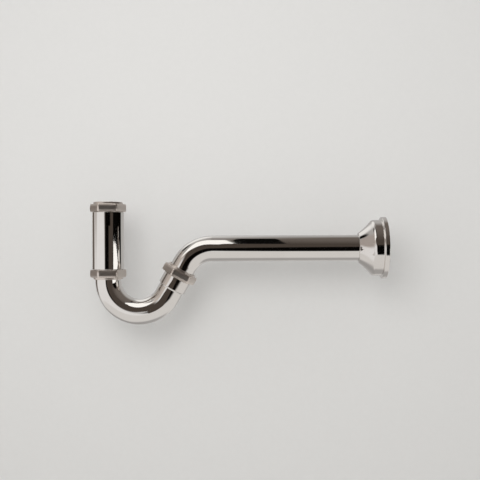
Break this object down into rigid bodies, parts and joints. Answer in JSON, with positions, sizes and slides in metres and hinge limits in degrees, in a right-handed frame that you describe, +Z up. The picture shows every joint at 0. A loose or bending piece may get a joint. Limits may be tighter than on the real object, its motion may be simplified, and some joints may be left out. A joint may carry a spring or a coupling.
{
  "type": "p-trap",
  "caption": "Bright plated tubular P-trap: straight inlet sleeve, U bend, level outlet pipe with hexagon slip nuts and a stepped wall flange; it seals a basin waste.",
  "frame": {"origin": "on the inlet's axis, at the foot of the inlet washer's seat, where the socket for the basin's tail begins", "axes": "+Z up along the inlet, +X along the level outlet pipe towards the wall, +Y across"},
  "size_m": [0.3691, 0.076, 0.1544],
  "materials": {
    "plated_tube": "polished plate",
    "plated_nut": "polished plate on cast brass",
    "raw_brass": "stamped, unplated",
    "black_rubber": "moulded, matt"
  },
  "bodies": {
    "sleeve": {"inlet_sleeve": "plated_tube", "inlet_washer": "black_rubber", "trap_washer": "black_rubber"},
    "inlet_ring": {"inlet_friction_ring": "raw_brass"},
    "inlet_nut": {"inlet_nut": "plated_nut"},
    "trap_ring": {"trap_friction_ring": "raw_brass"},
    "trap_nut": {"trap_nut": "plated_nut"},
    "u_bend": {"u_bend": "plated_tube", "u_bend_ferrule": "plated_nut", "outlet_washer": "black_rubber"},
    "outlet_ring": {"outlet_friction_ring": "raw_brass"},
    "outlet_nut": {"outlet_nut": "plated_nut"},
    "outlet_tube": {"outlet_tube": "plated_tube"},
    "flange": {"wall_flange": "plated_tube", "flange_grip_ring": "black_rubber"}
  },
  "joints": [
    {"name": "inlet_nut_travel", "type": "slide", "parent": "sleeve", "child": "inlet_ring", "axis": [0, 0, 1], "range_m": [0, 0.00552]},
    {"name": "inlet_nut_turn", "type": "hinge", "parent": "inlet_ring", "child": "inlet_nut", "pos_m": [0, 0, 0.0066], "axis": [0, 0, 1], "range_deg": [0, 900]},
    {"name": "trap_nut_travel", "type": "slide", "parent": "sleeve", "child": "trap_ring", "axis": [0, 0, -1], "range_m": [0, 0.00442]},
    {"name": "trap_nut_turn", "type": "hinge", "parent": "trap_ring", "child": "trap_nut", "pos_m": [0, 0, -0.0906], "axis": [0, 0, -1], "range_deg": [0, 720]},
    {"name": "u_bend_swivel", "type": "hinge", "parent": "sleeve", "child": "u_bend", "pos_m": [0, 0, -0.0906], "axis": [0, 0, -1], "continuous": true},
    {"name": "outlet_nut_travel", "type": "slide", "parent": "u_bend", "child": "outlet_ring", "axis": [0.5, 0, 0.866], "range_m": [0, 0.00442]},
    {"name": "outlet_nut_turn", "type": "hinge", "parent": "outlet_ring", "child": "outlet_nut", "pos_m": [0.09439, 0, -0.07759], "axis": [0.5, 0, 0.866], "range_deg": [0, 720]},
    {"name": "outlet_swivel", "type": "hinge", "parent": "u_bend", "child": "outlet_tube", "pos_m": [0.09439, 0, -0.07759], "axis": [-0.5, 0, -0.866], "continuous": true},
    {"name": "flange_slide", "type": "slide", "parent": "outlet_tube", "child": "flange", "axis": [1, 0, 0], "range_m": [-0.18, 0]}
  ],
  "couplings": [
    {"joint": "inlet_nut_travel", "follows": "inlet_nut_turn", "m_per_rad": 0.00035157},
    {"joint": "trap_nut_travel", "follows": "trap_nut_turn", "m_per_rad": 0.00035157},
    {"joint": "outlet_nut_travel", "follows": "outlet_nut_turn", "m_per_rad": 0.00035157}
  ]
}
